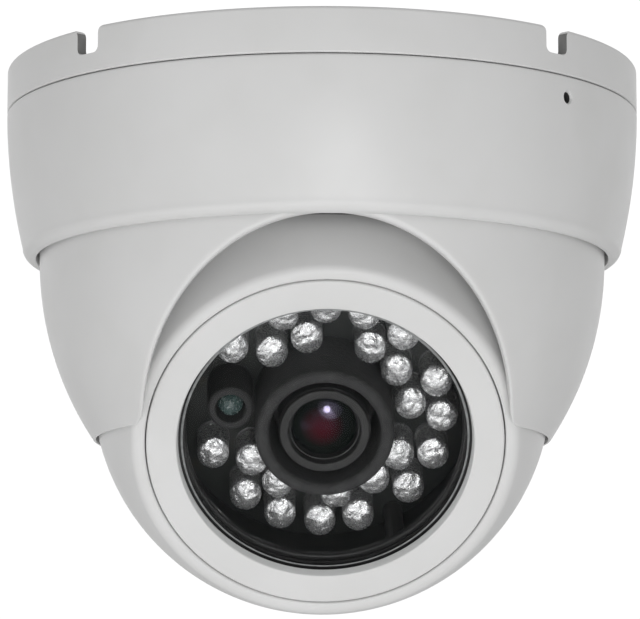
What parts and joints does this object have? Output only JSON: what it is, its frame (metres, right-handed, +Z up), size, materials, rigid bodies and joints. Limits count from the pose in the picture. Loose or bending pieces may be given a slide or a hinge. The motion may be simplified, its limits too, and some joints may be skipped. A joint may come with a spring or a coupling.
{
  "type": "dome cctv camera",
  "caption": "Ceiling dome security camera: base tray, twist-on ring, panning dome and tilting ball with a window, infrared LEDs and a small lens.",
  "frame": {"origin": "centre of the ceiling face, where the base's rim meets the ceiling", "axes": "+Z up into the ceiling, -Y the way the camera looks at rest, +X to the right of a viewer who faces the window"},
  "size_m": [0.098, 0.098, 0.0841],
  "materials": {
    "white_plastic": "satin moulded ABS, very fine grain",
    "black_plastic": "matte moulded",
    "black_rubber": "matte moulded rubber",
    "grey_rubber": "soft moulded rubber, dull",
    "steel": "zinc plated",
    "window_glass": "clear polished",
    "lens_glass": "coated, dark red and violet sheen",
    "led_resin": "water-clear epoxy",
    "sensor_resin": "tinted epoxy",
    "lens_metal": "black anodised",
    "circuit_board": "black solder mask",
    "chip_resin": "moulded epoxy",
    "connector_plastic": "natural nylon"
  },
  "bodies": {
    "mount": {"mounting_base": "white_plastic", "base_grommet": "black_rubber"},
    "ring": {"locking_ring": "white_plastic", "lock_screw": "steel"},
    "dome": {"dome_shroud": "white_plastic", "ball_seat_ring": "white_plastic", "friction_ring": "grey_rubber", "seat_screw_1": "steel", "seat_screw_2": "steel", "seat_screw_3": "steel", "seat_screw_4": "steel"},
    "ball": {"ball_front_shell": "white_plastic", "ball_rear_shell": "white_plastic", "shell_screw_1": "steel", "shell_screw_2": "steel", "rear_grommet": "black_rubber"},
    "core": {"front_bezel": "white_plastic", "window_glass": "window_glass", "window_gasket": "black_rubber", "window_retainer": "black_plastic", "led_board": "circuit_board", "board_screw_1": "steel", "board_screw_2": "steel", "board_screw_3": "steel", "led_01": "led_resin", "led_02": "led_resin", "led_03": "led_resin", "led_04": "led_resin", "led_05": "led_resin", "led_06": "led_resin", "led_07": "led_resin", "led_08": "led_resin", "led_09": "led_resin", "led_10": "led_resin", "led_11": "led_resin", "led_12": "led_resin", "led_13": "led_resin", "led_14": "led_resin", "led_15": "led_resin", "led_16": "led_resin", "led_17": "led_resin", "led_18": "led_resin", "led_19": "led_resin", "led_20": "led_resin", "led_21": "led_resin", "led_22": "led_resin", "led_23": "led_resin", "led_24": "led_resin", "light_sensor_holder": "black_rubber", "light_sensor": "sensor_resin", "lens_shield": "grey_rubber", "lens_holder": "black_plastic", "sensor_board": "circuit_board", "image_sensor": "chip_resin", "processor_chip": "chip_resin", "board_connector": "connector_plastic", "standoff_1": "steel", "standoff_2": "steel"},
    "lens": {"lens_barrel": "lens_metal", "lens_glass": "lens_glass"}
  },
  "joints": [
    {"name": "ring_twist", "type": "hinge", "parent": "mount", "child": "ring", "pos_m": [0, 0, -0.019], "axis": [0, 0, 1], "range_deg": [0, 25]},
    {"name": "pan", "type": "hinge", "parent": "mount", "child": "dome", "pos_m": [0, 0, -0.04875], "axis": [0, 0, 1], "range_deg": [-175, 175]},
    {"name": "tilt", "type": "hinge", "parent": "dome", "child": "ball", "pos_m": [0, 0, -0.04875], "axis": [1, 0, 0], "range_deg": [-18, 56.8]},
    {"name": "roll", "type": "hinge", "parent": "ball", "child": "core", "pos_m": [0, 0, -0.04875], "axis": [0, -0.8368, -0.5476], "range_deg": [-175, 175]},
    {"name": "focus", "type": "hinge", "parent": "core", "child": "lens", "pos_m": [0, 0, -0.04875], "axis": [0, -0.8368, -0.5476], "range_deg": [-180, 180]}
  ]
}
